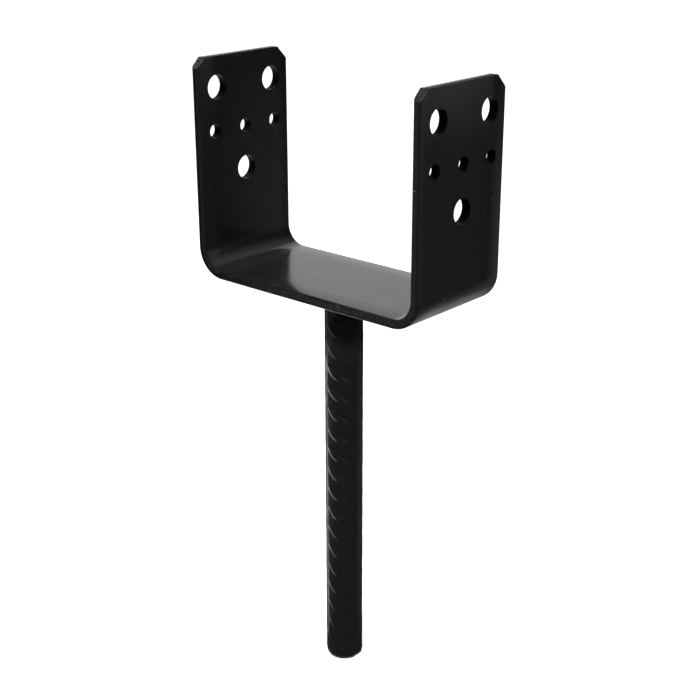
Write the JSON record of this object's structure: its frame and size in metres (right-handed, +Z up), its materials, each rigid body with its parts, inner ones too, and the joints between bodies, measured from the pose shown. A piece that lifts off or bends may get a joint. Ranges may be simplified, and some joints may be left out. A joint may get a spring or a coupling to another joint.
{
  "type": "u bracket",
  "caption": "U-shaped steel post support: a folded flat-bar fork with holes through both wings, welded on a ribbed dowel that sets in concrete.",
  "frame": {"origin": "centre of the seat, the top face of the fork's base, on the axis of the dowel", "axes": "+Z up out of the seat between the wings, X across the fork from wing to wing, Y along the width of the flat bar"},
  "size_m": [0.135, 0.06, 0.3055],
  "materials": {
    "black_powder_coat": "semi-gloss"
  },
  "bodies": {
    "root": {"u_saddle": "black_powder_coat", "ribbed_dowel": "black_powder_coat", "weld_bead": "black_powder_coat"}
  },
  "joints": []
}
